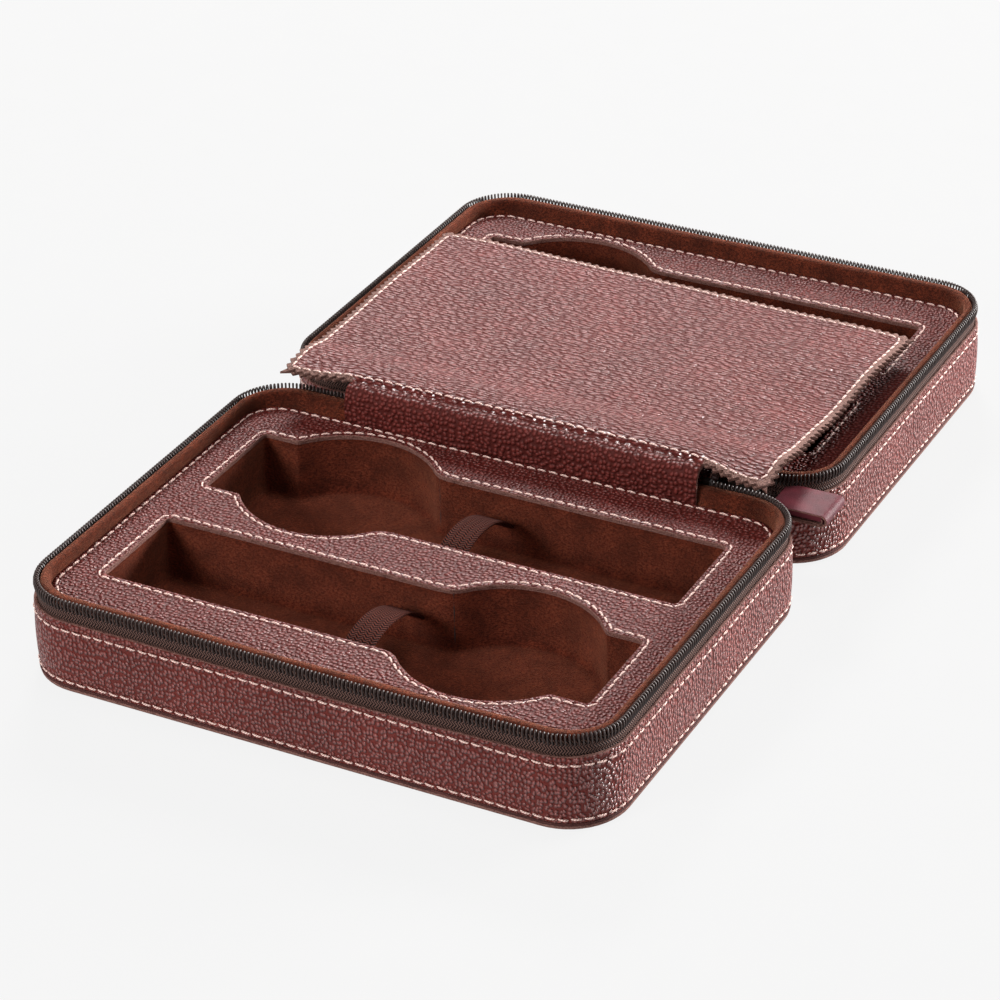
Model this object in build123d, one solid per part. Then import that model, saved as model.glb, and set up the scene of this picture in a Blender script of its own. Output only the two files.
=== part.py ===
from build123d import *
import os

os.makedirs("parts", exist_ok=True)

# Driving dimensions, mm. Origin: centre of the base half's underside. +Y runs to the hinge
# and on over the lid half, which lies open flat; +Z is up.
WIDTH = 195.0           # each half, along the hinge
DEPTH = 148.0           # each half, across the hinge
GAP = 10.0              # between the two back walls when the case lies open
CORNER = 19.0           # outer corner radius
HINGE_Z = 32.0          # plane where the two zip rows meet

BOTTOM_T = 1.3          # leather underside panel
WELT_TOP = 2.2          # layered raw edge between underside and wall
WALL_TOP = 24.6         # top edge of the side wall leather
WALL_T = 1.2
TAPE_T = 0.8
TAPE_FOOT, TAPE_TOP = 17.0, 29.0
COIL_S, COIL_W, COIL_TOP = 0.4, 2.0, 31.8
BOARD_IN = 3.4          # inner face of the stiffener wall, from the outer face
BOARD_FLOOR_TOP, BOARD_TOP = 2.8, 26.0
CORE_TOP = 24.6         # foam under the tray panel
PANEL_TOP = 26.0
PANEL_X, PANEL_Y, PANEL_R = 93.4, 65.9, 13.0    # half sizes of the tray panel
RIM_TOP = 30.6

SLOT_X, SLOT_Y = 81.0, 18.2     # half sizes of a watch channel
SLOT_OFF = 29.3                 # channel centre line from the half's centre
HEAD_R, HEAD_OFF = 31.0, 43.6   # round widening for the watch head
LINER_T = 0.8
POCKET_Z = 4.2                  # foam floor of a compartment
STRAP_W, STRAP_T, STRAP_X = 10.0, 1.0, 3.5
STRAP_ARCH = ((-18.2, 18.6), (-3.5, 23.4), (18.2, 14.6))    # top of the elastic across its channel

SPINE_X = 62.0          # half width of the leather hinge
SKIN_T = 1.2

# Flap corners as (x, distance behind the hinge line): near left, near right, far right, far left
FLAP_CORNERS = ((-86.9, 14.0), (85.8, 14.0), (87.0, 104.0), (-90.0, 109.0))
FLAP_ROOT = ((-86.0, -11.4), (-66.0, -10.2), (-56.0, -8.0), (56.0, -8.0), (66.0, -10.2), (85.5, -11.6))
FLAP_LAYER = 1.0
FLAP_TOP, FLAP_DROP = 37.4, 1.88    # height behind the root, and slope in degrees
PINK_PITCH, PINK_DEPTH = 3.0, 1.3

TAIL_Z = 27.5           # mid height of the loose end of the zip
SLIDER_X = 73.0
PULL_PIN_R, PULL_HOLE_R = 0.72, 0.80
PULL_Z = 24.0
TAB_Z0, TAB_Z1 = 24.6, 28.8
TAB_X0, TAB_X1 = 84.5, 103.5

HINGE_Y = DEPTH / 2 + GAP / 2
LID_Y = DEPTH + GAP     # centre of the lid half
HX, HY = WIDTH / 2, DEPTH / 2


def save(name, shape):
    shape.label = name
    export_step(shape, f"parts/{name}.step")


def slab(hx, hy, r, z0, z1):
    """Rounded plate about the half's centre."""
    return Pos(0, 0, z0) * extrude(RectangleRounded(2 * hx, 2 * hy, r), z1 - z0)


def inset(s, z0, z1):
    """Plate whose edge lies s inside the outer wall face."""
    return slab(HX - s, HY - s, CORNER - s, z0, z1)


def ring(s0, s1, z0, z1):
    return inset(s0, z0, z1) - inset(s1, z0 - 1, z1 + 1)


def block(x0, x1, y0, y1, z0, z1):
    return Pos((x0 + x1) / 2, (y0 + y1) / 2, (z0 + z1) / 2) * Box(x1 - x0, y1 - y0, z1 - z0)


def spine_gap(side, s=14.0, grow=0.0, z0=-1.0, z1=60.0):
    """Space behind a half's hinge wall, as wide as the leather hinge."""
    y0, y1 = sorted((side * (HY + 1), side * (HY - s)))
    return block(-SPINE_X - grow, SPINE_X + grow, y0, y1, z0, z1)


def keyhole(side, grow, z0, z1):
    """Watch channel with its round widening; side is +1 for the far one, -1 for the near one."""
    slot = Pos(0, side * SLOT_OFF) * RectangleRounded(
        2 * (SLOT_X + grow), 2 * (SLOT_Y + grow), 1.6 + grow
    )
    head = Pos(-side * HEAD_OFF, side * SLOT_OFF) * Circle(HEAD_R + grow)
    return Pos(0, 0, z0) * extrude(slot + head, z1 - z0)


def strap(side):
    """Elastic band across a channel, arched from one wall to a lower point on the other."""
    (y0, z0), (ym, zm), (y1, z1) = STRAP_ARCH
    top = ThreePointArc((y0, z0), (ym, zm), (y1, z1))
    low = ThreePointArc((y1, z1 - STRAP_T * 1.2), (ym, zm - STRAP_T), (y0, z0 - STRAP_T * 1.2))
    sides = Line(top @ 1, low @ 0) + Line(low @ 1, top @ 0)
    face = Plane.YZ * make_face(top + low + sides)
    return Pos(STRAP_X - STRAP_W / 2, side * SLOT_OFF, 0) * extrude(face, STRAP_W, dir=(1, 0, 0))


def rim():
    """Suede-covered padded edge that slopes from the zip down to the tray panel."""
    body = inset(2.0, BOARD_TOP, TAPE_TOP) + inset(BOARD_IN, CORE_TOP, BOARD_TOP)
    body += inset(COIL_S + COIL_W + 0.05, TAPE_TOP, RIM_TOP)
    steps = [
        (CORE_TOP - 0.2, 0.1, 0.1, 13.1),
        (26.4, 0.25, 1.9, 13.6),
        (28.6, 0.5, 3.5, 14.6),
        (RIM_TOP + 0.1, 0.7, 4.7, 15.6),
    ]
    faces = [
        Pos(0, 0, z) * RectangleRounded(2 * (PANEL_X + dx), 2 * (PANEL_Y + dy), r)
        for z, dx, dy, r in steps
    ]
    return body - loft(faces, ruled=True)


def coil():
    """Zip coil, a half-round bead on top of the tape."""
    s = COIL_S + COIL_W / 2
    path = Pos(0, 0, (TAPE_TOP + COIL_TOP) / 2) * RectangleRounded(
        2 * (HX - s), 2 * (HY - s), CORNER - s
    ).wire()
    at = Plane(origin=path @ 0.1, z_dir=path % 0.1)
    profile = at * RectangleRounded(COIL_TOP - TAPE_TOP, COIL_W, 0.7)
    if abs(at.x_dir.Z) < 0.5:
        profile = at * RectangleRounded(COIL_W, COIL_TOP - TAPE_TOP, 0.7)
    return sweep(profile, path=path)


def half(prefix, cy, hinge_side):
    """All the pieces of one half; hinge_side is the sign of the Y side that carries the hinge."""
    at = Pos(0, cy, 0)
    put = lambda name, shape: save(f"{prefix}_{name}", at * shape)
    put("bottom", inset(0.1, 0, BOTTOM_T))
    put("welt", ring(-0.15, 2.0, BOTTOM_T, WELT_TOP))
    put("wall", ring(0, WALL_T, WELT_TOP, WALL_TOP))
    put("board", inset(2.0, BOTTOM_T, BOARD_TOP) - inset(BOARD_IN, BOARD_FLOOR_TOP, BOARD_TOP + 1))
    holes = [keyhole(k, LINER_T, POCKET_Z, CORE_TOP + 1) for k in (1, -1)]
    put("core", inset(BOARD_IN, BOARD_FLOOR_TOP, CORE_TOP) - holes[0] - holes[1])
    put("rim", rim() - spine_gap(hinge_side, 10.0, 0.2, CORE_TOP - 1))
    panel = slab(PANEL_X, PANEL_Y, PANEL_R, CORE_TOP, PANEL_TOP)
    put("panel", panel - keyhole(1, 0, 20, 30) - keyhole(-1, 0, 20, 30))
    for k, word in ((1, "far"), (-1, "near")):
        liner = keyhole(k, LINER_T, POCKET_Z, CORE_TOP) - keyhole(k, 0, POCKET_Z + LINER_T, 30)
        put(f"liner_{word}", liner)
        put(f"strap_{word}", strap(k))
    put("tape", ring(WALL_T, WALL_T + TAPE_T, TAPE_FOOT, TAPE_TOP) - spine_gap(hinge_side))
    put("coil", coil() - spine_gap(hinge_side, grow=2.0))
    y, w = hinge_side * (HY - COIL_S - COIL_W / 2), COIL_W / 2
    a, b = [block(x - 1, x + 1, y - w, y + w, TAPE_TOP, COIL_TOP) for x in (-SPINE_X - 1, SPINE_X + 1)]
    put("stops", a + b)


def band(top, low, x0, x1):
    """Strip with the given top and under curves in the YZ plane, from x0 to x1."""
    a, b = Spline(*top), Spline(*reversed(low))
    face = Plane.YZ * make_face(a + Line(a @ 1, b @ 0) + b + Line(b @ 1, a @ 0))
    return Pos(x0, HINGE_Y, 0) * extrude(face, x1 - x0, dir=(1, 0, 0))


def spine():
    """Leather hinge: a lining that arches over the top, and under it a cover folded up between the walls."""
    t = SKIN_T
    top = [(-13.05, 24.8), (-13.05, 30.0), (-12.8, 34.2), (-11.3, 36.6), (-8.0, 37.4), (-3.0, 37.6), (0, 37.6)]
    top += [(5.0, 37.2), (9.0, 35.4), (11.4, 32.4), (12.6, 28.5), (13.05, 24.8)]
    low = [(-13.05 + t, 24.8), (-13.05 + t, 30.0), (-11.6, 33.8), (-10.4, 35.6), (-7.8, 36.2), (-3.0, 36.4)]
    low += [(0, 36.4), (4.6, 36.0), (8.1, 34.4), (10.3, 31.8), (11.4, 28.3), (13.05 - t, 24.8)]
    save("spine_lining", band(top, low, -SPINE_X, SPINE_X))
    g = GAP / 2
    top = [(-g, 20.0), (-g, 22.5), (-g, 25.0), (-4.2, 28.4), (-2.3, 30.4)]
    low = [(-g + t, 20.0), (-g + t, 22.5), (-g + t, 24.9), (-3.1, 27.6), (-1.7, 29.2)]
    top += [(0, 31.0)] + [(-a, b) for a, b in reversed(top)]
    low += [(0, 29.8)] + [(-a, b) for a, b in reversed(low)]
    cover = band(top, low, -SPINE_X, SPINE_X) & block(-SPINE_X, SPINE_X, HINGE_Y - g, HINGE_Y + g, 0, HINGE_Z)
    for a in (-g, g - t):
        cover += block(-SPINE_X, SPINE_X, HINGE_Y + a, HINGE_Y + a + t, 20.0, 24.8)
    save("spine_cover", cover)


def pinked(near_left, near_right, far_right, far_left):
    """Outline of the flap with its right, far and left edges cut in a zigzag."""
    d = PINK_DEPTH

    def run(a, b, out):
        n = round(max(abs(b[0] - a[0]), abs(b[1] - a[1])) / PINK_PITCH)
        for i in range(n):
            for f, o in ((i / n, 0), ((i + 0.5) / n, d)):
                yield (a[0] + (b[0] - a[0]) * f + out[0] * o, a[1] + (b[1] - a[1]) * f + out[1] * o)

    (ax, ay), (bx, by), (cx, cy), (dx, dy) = near_left, near_right, far_right, far_left
    start, right = (ax + d, ay), (bx - d, by)
    far_r, far_l = (cx - d, cy - d), (dx + d, dy - d)
    pts = list(run(right, far_r, (1, 0))) + list(run(far_r, far_l, (0, 1)))
    pts += list(run(far_l, start, (-1, 0))) + [start]
    return make_face(Polyline(*pts, close=True))


def flap():
    """Double leather divider; its root, sewn to the crest of the hinge, is a piece of its own."""
    y0 = FLAP_CORNERS[0][1]
    sheet = pinked(*[(x, y - y0) for x, y in FLAP_CORNERS])
    tilt = Pos(0, HINGE_Y + y0, FLAP_TOP) * Rot(-FLAP_DROP, 0, 0)
    save("flap_top", tilt * Pos(0, 0, -FLAP_LAYER) * extrude(sheet, FLAP_LAYER))
    save("flap_under", tilt * Pos(0, 0, -2 * FLAP_LAYER) * extrude(sheet, FLAP_LAYER))
    y = y0 - 0.1
    low = [(-12.0, 37.5), (-6.0, 37.7), (0, 37.75), (5.0, 37.4), (10.0, 36.25), (y, FLAP_TOP - 2 * FLAP_LAYER)]
    top = [(a, b + 2 * FLAP_LAYER) for a, b in low]
    sides = ((FLAP_CORNERS[1][0] - 0.6, y + 1), (FLAP_CORNERS[0][0] + 0.6, y + 1))
    outline = Pos(0, HINGE_Y) * make_face(Polyline(*FLAP_ROOT, *sides, close=True))
    save("flap_root", band(top, low, -100, 100) & (Pos(0, 0, 30) * extrude(outline, 20)))


def zip_end():
    """Loose end of the zip past the hinge: two tapes, their coil, and a folded leather tab."""
    def pair(d0, d1, z0, z1, x0, x1):
        a = block(x0, x1, HINGE_Y + d0, HINGE_Y + d1, z0, z1)
        return a + block(x0, x1, HINGE_Y - d1, HINGE_Y - d0, z0, z1)

    x0, x1 = SPINE_X + 1.0, TAB_X0 + 8.0
    save("zip_tail_tape", pair(1.6, 3.9, TAIL_Z - 0.4, TAIL_Z + 0.4, x0, x1))
    save("zip_tail_coil", pair(0.6, 1.6, TAIL_Z - 0.8, TAIL_Z + 0.8, x0, x1))
    pts = [(TAB_X0, -4.6), (TAB_X0 + 3.5, -7.2), (TAB_X1, -7.2)]
    pts += [(x, -y) for x, y in reversed(pts)]
    shape = Pos(0, HINGE_Y) * make_face(Polyline(*pts, close=True))
    shape = fillet(shape.vertices().sort_by(Axis.X)[-2:], 1.5)
    fold = Pos(0, 0, TAB_Z0) * extrude(shape, TAB_Z1 - TAB_Z0)
    slot = block(TAB_X0 - 1, TAB_X1 - 2.2, HINGE_Y - 9, HINGE_Y + 9, TAIL_Z - 0.85, TAIL_Z + 0.85)
    save("zip_tab", fold - slot)
    fill = (Pos(0, 0, TAIL_Z - 0.8) * extrude(shape, 1.6)) & slot
    hole = block(TAB_X0 - 1, x1 + 0.1, HINGE_Y - 3.95, HINGE_Y + 3.95, 20, 40)
    save("zip_tab_filler", fill - hole)


def slider():
    """Zip slider on the tail, and the metal pull that hangs from it."""
    x = SLIDER_X
    plate = extrude(RectangleRounded(10, 8.6, 2.4), 0.9)
    body = Pos(x, HINGE_Y, TAIL_Z + 0.95) * plate + Pos(x, HINGE_Y, TAIL_Z - 1.85) * plate
    body += block(x - 2.5, x + 2.5, HINGE_Y - 0.45, HINGE_Y + 0.45, TAIL_Z - 1.2, TAIL_Z + 1.2)
    lug = block(x - 1.5, x + 1.5, HINGE_Y - 1.1, HINGE_Y + 1.1, PULL_Z - 1.4, TAIL_Z - 1.8)
    pin_at = Pos(x, HINGE_Y, PULL_Z) * Rot(90, 0, 0)
    save("slider", body + lug - pin_at * Cylinder(PULL_HOLE_R, 10))
    frame = pin_at * Cylinder(PULL_PIN_R, 5.2)
    for s in (-1, 1):
        y0, y1 = sorted((HINGE_Y + s * 1.5, HINGE_Y + s * 2.6))
        frame += block(x - 0.7, x + 0.7, y0, y1, PULL_Z - 4.2, PULL_Z + 0.5)
    tongue = Plane.YZ * (Pos(HINGE_Y, PULL_Z - 10.0) * RectangleRounded(6.4, 12.6, 2.0))
    tongue = Pos(x - 0.7, 0, 0) * extrude(tongue, 1.4, dir=(1, 0, 0))
    save("pull", frame + tongue)


half("base", 0, 1)
half("lid", LID_Y, -1)
spine()
flap()
zip_end()
slider()
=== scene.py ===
import math

import bmesh
import bpy
import numpy as np
from mathutils import Matrix, Vector
from mathutils.geometry import delaunay_2d_cdt


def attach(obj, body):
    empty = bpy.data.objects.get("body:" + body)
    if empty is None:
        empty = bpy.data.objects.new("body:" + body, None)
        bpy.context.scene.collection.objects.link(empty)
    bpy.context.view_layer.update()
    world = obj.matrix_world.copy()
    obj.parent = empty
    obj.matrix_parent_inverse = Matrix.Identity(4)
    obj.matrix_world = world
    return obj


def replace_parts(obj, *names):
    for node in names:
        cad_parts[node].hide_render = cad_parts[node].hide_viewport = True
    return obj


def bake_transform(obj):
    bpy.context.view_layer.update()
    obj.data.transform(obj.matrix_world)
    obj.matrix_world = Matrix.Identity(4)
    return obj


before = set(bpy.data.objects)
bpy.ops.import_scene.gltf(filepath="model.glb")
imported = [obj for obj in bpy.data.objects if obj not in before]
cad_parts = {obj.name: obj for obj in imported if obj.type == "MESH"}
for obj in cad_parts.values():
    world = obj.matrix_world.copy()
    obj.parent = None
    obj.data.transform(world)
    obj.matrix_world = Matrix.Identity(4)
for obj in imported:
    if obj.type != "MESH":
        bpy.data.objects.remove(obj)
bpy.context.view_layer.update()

MM = 0.001

# The case in mm, in the frame of the CAD model: +Y runs to the hinge and on over the lid half.
HX, HY, CORNER = 97.5, 74.0, 19.0
LID_Y = 158.0
HINGE_Y = 79.0
PANEL = (93.4, 65.9, 13.0)
PANEL_Z0, PANEL_Z = 24.6, 26.0
SLOT_X, SLOT_Y, SLOT_OFF = 81.0, 18.2, 29.3
HEAD_R, HEAD_OFF = 31.0, 43.6
FLOOR_Z = 5.0
STRAP_X, STRAP_W, STRAP_T = 3.5, 10.0, 1.0
STRAP_ARCH = ((-18.2, 18.6), (-3.5, 23.4), (18.2, 14.6))
SPINE_X = 62.0
# Flap corners as (x, distance behind the hinge line), out to the tips of the pinking
FLAP_NEAR_L, FLAP_NEAR_R = (-86.0, -11.4), (85.4, -11.8)
FLAP_FAR_L, FLAP_FAR_R = (-90.2, 109.2), (86.9, 104.2)
FLAP_T, FLAP_SLOPE, PINK = 1.0, math.tan(math.radians(1.88)), 1.3
# Rows of the flap's mesh, the row that lies on the seam of its sewn strip, and the seam's own distance
FLAP_ROWS, SEAM_ROW, SEAM_DY = 78, 10, 6.0
# Open end of the zip: height of its tape, pitch of its coil, and the middle of the tab folded over it
TAIL_Z, COIL_PITCH, TAB_Z = 27.5, 1.3, 26.7
RNG = np.random.default_rng(7)


# ---------------------------------------------------------------- materials
def srgb(r, g, b):
    f = lambda c: c / 12.92 if c <= 0.04045 else ((c + 0.055) / 1.055) ** 2.4
    return (f(r / 255), f(g / 255), f(b / 255), 1.0)


class Graph:
    """Small helper that builds a material's nodes."""

    def __init__(self, name):
        self.material = bpy.data.materials.new(name)
        self.material.use_nodes = True
        self.tree = self.material.node_tree
        self.tree.nodes.clear()

    def add(self, kind, out=0, props=None, **inputs):
        n = self.tree.nodes.new("ShaderNode" + kind)
        for key, value in (props or {}).items():
            setattr(n, key, value)
        for key, value in inputs.items():
            socket = n.inputs[int(key[1:])] if key[1:].isdigit() else n.inputs[key.replace("_", " ")]
            if isinstance(value, bpy.types.NodeSocket):
                self.tree.links.new(value, socket)
            else:
                socket.default_value = value
        return n.outputs[out]

    def uv(self, sx=1.0, sy=1.0, turn=0.0):
        return self.add("Mapping", Vector=self.add("TexCoord", 2), Scale=(sx, sy, 1.0), Rotation=(0, 0, turn))

    def noise(self, vector, scale, detail=3.0, rough=0.55, out=0):
        return self.add("TexNoise", out, dict(noise_dimensions="2D"), Vector=vector, Scale=scale,
                        Detail=detail, Roughness=rough)

    def ramp(self, value, a, b, to0=0.0, to1=1.0, kind="SMOOTHSTEP"):
        return self.add("MapRange", 0, dict(interpolation_type=kind), Value=value, i1=a, i2=b, i3=to0, i4=to1)

    def math(self, op, a, b=0.0, c=0.0):
        return self.add("Math", 0, dict(operation=op), i0=a, i1=b, i2=c)

    def mix(self, factor, a, b, blend="MIX"):
        return self.add("Mix", 2, dict(data_type="RGBA", blend_type=blend), i0=factor, i6=a, i7=b)

    def wobble(self, vector, scale, amount):
        """The vector, pushed about by a smooth noise."""
        n = self.noise(vector, scale, 2.0, out=1)
        centred = self.add("VectorMath", 0, dict(operation="SUBTRACT"), i0=n, i1=(0.5, 0.5, 0.5))
        return self.add("VectorMath", 0, dict(operation="MULTIPLY_ADD"), i0=centred, i1=(amount,) * 3,
                        i2=vector)

    def bump(self, height, mm):
        return self.add("Bump", 0, Height=height, Distance=mm * MM)

    def finish(self, **inputs):
        shader = self.add("BsdfPrincipled", **inputs)
        out = self.tree.nodes.new("ShaderNodeOutputMaterial")
        self.tree.links.new(shader, out.inputs[0])
        return self.material


def pebbled(name, tone, dark, size=1.45, depth=1.25, rough=0.30, stretch=1.0, pit_shade=0.42, shine=0.60):
    """Pebbled full-grain leather: packed round grains, soft pits between them and a fine tooth. The pits are
    painted darker, as painted shade.
    """
    g = Graph(name)
    uv = g.uv()
    flow = g.wobble(g.wobble(uv, 0.12, 1.8), 0.6, 0.3)
    cell = g.add("Mapping", Vector=flow, Scale=(1 / (size * stretch), stretch / size, 1.0))
    flat = dict(voronoi_dimensions="2D")
    near = g.add("TexVoronoi", 0, dict(flat, feature="SMOOTH_F1"), Vector=cell, Scale=1.0, Randomness=0.68,
                 Smoothness=0.15)
    each = g.add("TexVoronoi", 1, dict(flat, feature="F1"), Vector=cell, Scale=1.0, Randomness=0.68)
    each = g.add("SeparateColor", 0, Color=each)
    lumps = g.noise(cell, 0.95, 2.0, 0.5)
    fine = g.noise(uv, 3.2, 3.0, 0.65)
    worn = g.noise(uv, 0.45, 4.0, 0.65)
    broad = g.noise(uv, 0.035, 3.0)
    crown = g.ramp(near, 0.68, 0.04, kind="SMOOTHERSTEP")
    grain = g.math("MULTIPLY_ADD", lumps, 0.14, g.math("MULTIPLY", crown, 0.98))
    high = g.math("MULTIPLY_ADD", each, 0.10, g.math("MULTIPLY_ADD", fine, 0.10, grain))
    high = g.math("MULTIPLY_ADD", worn, 0.18, high)
    # Painted shade: in the pits between the grains the colour runs towards the dark tone.
    full = g.math("MULTIPLY", g.ramp(grain, 0.18, 0.80), g.ramp(worn, 0.2, 0.75, 0.75, 1.0))
    colour = g.mix(g.math("MULTIPLY_ADD", full, pit_shade, 1.0 - pit_shade), dark, tone)
    shade = g.math("MULTIPLY", g.ramp(broad, 0.25, 0.75, 0.88, 1.10, "LINEAR"),
                   g.ramp(each, 0.0, 1.0, 0.9, 1.1, "LINEAR"))
    colour = g.mix(1.0, colour, g.add("CombineColor", 0, Red=shade, Green=shade, Blue=shade), "MULTIPLY")
    gloss = g.math("MULTIPLY_ADD", grain, -0.05, g.math("MULTIPLY_ADD", fine, 0.12, rough))
    spark = g.ramp(grain, 0.1, 0.8, 0.12, shine)
    return g.finish(Base_Color=colour, Roughness=gloss, Specular_IOR_Level=spark, Normal=g.bump(high, depth))


def smooth_leather(name, tone, dark):
    """Plain dyed leather with a fine hair-cell grain."""
    g = Graph(name)
    uv = g.uv()
    hair = g.noise(g.uv(1.0, 1.4), 2.6, 4.0, 0.65)
    broad = g.noise(uv, 0.12, 3.0)
    colour = g.mix(g.ramp(broad, 0.2, 0.8), dark, tone)
    colour = g.mix(g.ramp(hair, 0.55, 0.8, 0.0, 0.35), colour, dark)
    return g.finish(Base_Color=colour, Roughness=g.ramp(hair, 0.2, 0.9, 0.46, 0.62), Specular_IOR_Level=0.18,
                    Normal=g.bump(hair, 0.12))


def raw_edge(name, light, dark, along=0.35, across=5.0):
    """Cut leather edge: loose fibres and thin layers that run along the cut."""
    g = Graph(name)
    layers = g.noise(g.uv(along, across), 1.0, 4.0, 0.7)
    fibre = g.noise(g.uv(), 2.4, 4.0, 0.7)
    both = g.math("MULTIPLY_ADD", fibre, 0.5, g.math("MULTIPLY", layers, 0.5))
    colour = g.mix(g.ramp(both, 0.36, 0.64), dark, light)
    return g.finish(Base_Color=colour, Roughness=0.82, Specular_IOR_Level=0.25, Normal=g.bump(both, 0.28))


def suede(name, tone, dark, sheen):
    """Brushed suede: short nap with soft patches where it lies the other way."""
    g = Graph(name)
    uv = g.uv()
    patch = g.noise(g.wobble(uv, 0.05, 9.0), 0.14, 4.0, 0.6)
    nap = g.noise(uv, 3.4, 3.0, 0.75)
    speck = g.noise(uv, 1.1, 3.0, 0.7)
    colour = g.mix(g.ramp(patch, 0.2, 0.8, 0.25, 0.9), dark, tone)
    streak = g.noise(g.wobble(g.uv(0.7, 1.6, 0.5), 0.4, 1.2), 1.3, 4.0, 0.7)
    colour = g.mix(g.ramp(nap, 0.38, 0.7, 0.0, 0.6), colour, dark)
    colour = g.mix(g.ramp(streak, 0.42, 0.66, 0.0, 0.8), colour, dark)
    colour = g.mix(g.ramp(speck, 0.46, 0.66, 0.0, 0.7), colour, dark)
    high = g.math("MULTIPLY_ADD", speck, 0.6, g.math("MULTIPLY_ADD", streak, 0.9, nap))
    return g.finish(Base_Color=colour, Roughness=0.95, Specular_IOR_Level=0.10, Sheen_Weight=0.45,
                    Sheen_Roughness=0.4, Sheen_Tint=sheen, Normal=g.bump(high, 0.34))


def woven(name, light, dark, pitch, ribs=0.0, shine=0.16):
    """Woven tape: rows of slanted yarns, one way and then the other."""
    g = Graph(name)
    uv = g.uv()
    sep = g.add("SeparateXYZ", 0, Vector=uv)
    sep_y = g.add("SeparateXYZ", 1, Vector=uv)
    row = g.math("MULTIPLY", sep_y, 1 / pitch)
    side = g.math("PINGPONG", row, 1.0)
    slant = g.math("MULTIPLY_ADD", sep, 1.15 / pitch, side)
    yarn = g.math("SINE", g.math("MULTIPLY", slant, 2 * math.pi))
    bead = g.math("SINE", g.math("MULTIPLY", row, 2 * math.pi))
    height = g.math("MULTIPLY_ADD", bead, 0.35 + ribs, yarn)
    fuzz = g.noise(uv, 5.0, 2.0)
    colour = g.mix(g.ramp(g.math("MULTIPLY_ADD", fuzz, 0.8, yarn), -0.3, 1.1), dark, light)
    return g.finish(Base_Color=colour, Roughness=0.7, Specular_IOR_Level=shine, Normal=g.bump(height, 0.16))


def thread(name, light, dark):
    """Waxed two-ply thread."""
    g = Graph(name)
    uv = g.uv()
    ply = g.add("TexWave", 1, dict(wave_type="BANDS", bands_direction="DIAGONAL"), Vector=uv, Scale=0.75,
                Distortion=0.6, Detail=1.0)
    colour = g.mix(g.ramp(ply, 0.0, 0.6), dark, light)
    return g.finish(Base_Color=colour, Roughness=0.5, Specular_IOR_Level=0.4, Normal=g.bump(ply, 0.12))


def nylon(name, tone, dark, rough):
    """Moulded filament, lightly scuffed."""
    g = Graph(name)
    scuff = g.noise(g.uv(0.5, 3.0), 1.6, 3.0)
    colour = g.mix(g.ramp(scuff, 0.3, 0.7), dark, tone)
    return g.finish(Base_Color=colour, Roughness=g.ramp(scuff, 0.2, 0.8, rough - 0.06, rough + 0.1),
                    Specular_IOR_Level=0.45, Normal=g.bump(scuff, 0.04))


def metal(name, tone):
    """Plated die casting with a faint brushed haze. Reads the object's own coordinates."""
    g = Graph(name)
    at = g.add("Mapping", Vector=g.add("TexCoord", 3), Scale=(400.0, 2600.0, 2600.0))
    haze = g.add("TexNoise", 0, Vector=at, Scale=1.0, Detail=3.0)
    return g.finish(Base_Color=tone, Metallic=1.0, Roughness=g.ramp(haze, 0.2, 0.8, 0.24, 0.42),
                    Normal=g.bump(haze, 0.02))


def filler(name, tone, dark, scale):
    """Foam or pressed board that stays out of sight."""
    g = Graph(name)
    at = g.add("TexCoord", 3)
    pores = g.add("TexVoronoi", 0, dict(feature="F1"), Vector=at, Scale=scale)
    fibre = g.add("TexNoise", 0, Vector=at, Scale=scale * 0.4, Detail=4.0)
    colour = g.mix(g.math("MULTIPLY", pores, fibre), dark, tone)
    return g.finish(Base_Color=colour, Roughness=0.9, Normal=g.bump(pores, 0.2))


LEATHER = pebbled("leather", srgb(113, 40, 34), srgb(31, 8, 7), depth=0.95, rough=0.36, shine=0.46,
                  pit_shade=0.56)
# Painted light: the walls' leather is a copy of the panels' leather with a lighter tone, standing in for the
# light on the side walls.
WALL_PAINTED_LIGHT = pebbled("wall_leather", srgb(134, 53, 45), srgb(38, 9, 8), size=1.45, depth=1.1, rough=0.37,
               stretch=0.9, shine=1.0, pit_shade=0.54)
LINING = pebbled("lining_leather", srgb(112, 43, 37), srgb(30, 8, 7), size=1.6, depth=0.6, rough=0.54,
                 shine=0.34, pit_shade=0.6)
FLAP = pebbled("flap_leather", srgb(124, 51, 46), srgb(42, 10, 9), size=2.05, depth=1.35, rough=0.35,
               stretch=1.38, pit_shade=0.56, shine=0.85)
TAB = smooth_leather("tab_leather", srgb(98, 36, 46), srgb(64, 22, 30))
EDGE = raw_edge("leather_edge", srgb(150, 108, 98), srgb(60, 30, 26))
PINKED = raw_edge("pinked_edge", srgb(146, 110, 100), srgb(58, 32, 28), 1.2, 3.0)
WELT = raw_edge("welt_edge", srgb(96, 52, 48), srgb(30, 12, 11), 0.12, 4.0)
SUEDE = suede("suede", srgb(136, 62, 40), srgb(44, 15, 10), srgb(214, 150, 120))
SUEDE_DARK = suede("suede_dark", srgb(146, 68, 46), srgb(52, 18, 12), srgb(200, 130, 100))
ELASTIC = woven("elastic", srgb(90, 44, 34), srgb(16, 5, 5), 1.25, 0.3, 0.05)
TAPE = woven("zip_tape", srgb(106, 78, 70), srgb(14, 6, 6), 1.1)
COIL = nylon("zip_coil", srgb(68, 48, 43), srgb(20, 11, 10), 0.44)
STOP = nylon("zip_stop", srgb(40, 28, 26), srgb(18, 10, 10), 0.55)
THREAD = thread("thread", srgb(244, 214, 204), srgb(188, 142, 132))
METAL = metal("metal", srgb(150, 146, 142))
FOAM = filler("foam", srgb(70, 60, 58), srgb(30, 26, 26), 900.0)
BOARD = filler("board", srgb(96, 74, 60), srgb(52, 38, 32), 1400.0)


# ---------------------------------------------------------------- mesh building
# Material slots of a leather piece: its face, its cut edge and its thread
FACE, CUT, SEWN = 0, 1, 2


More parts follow.
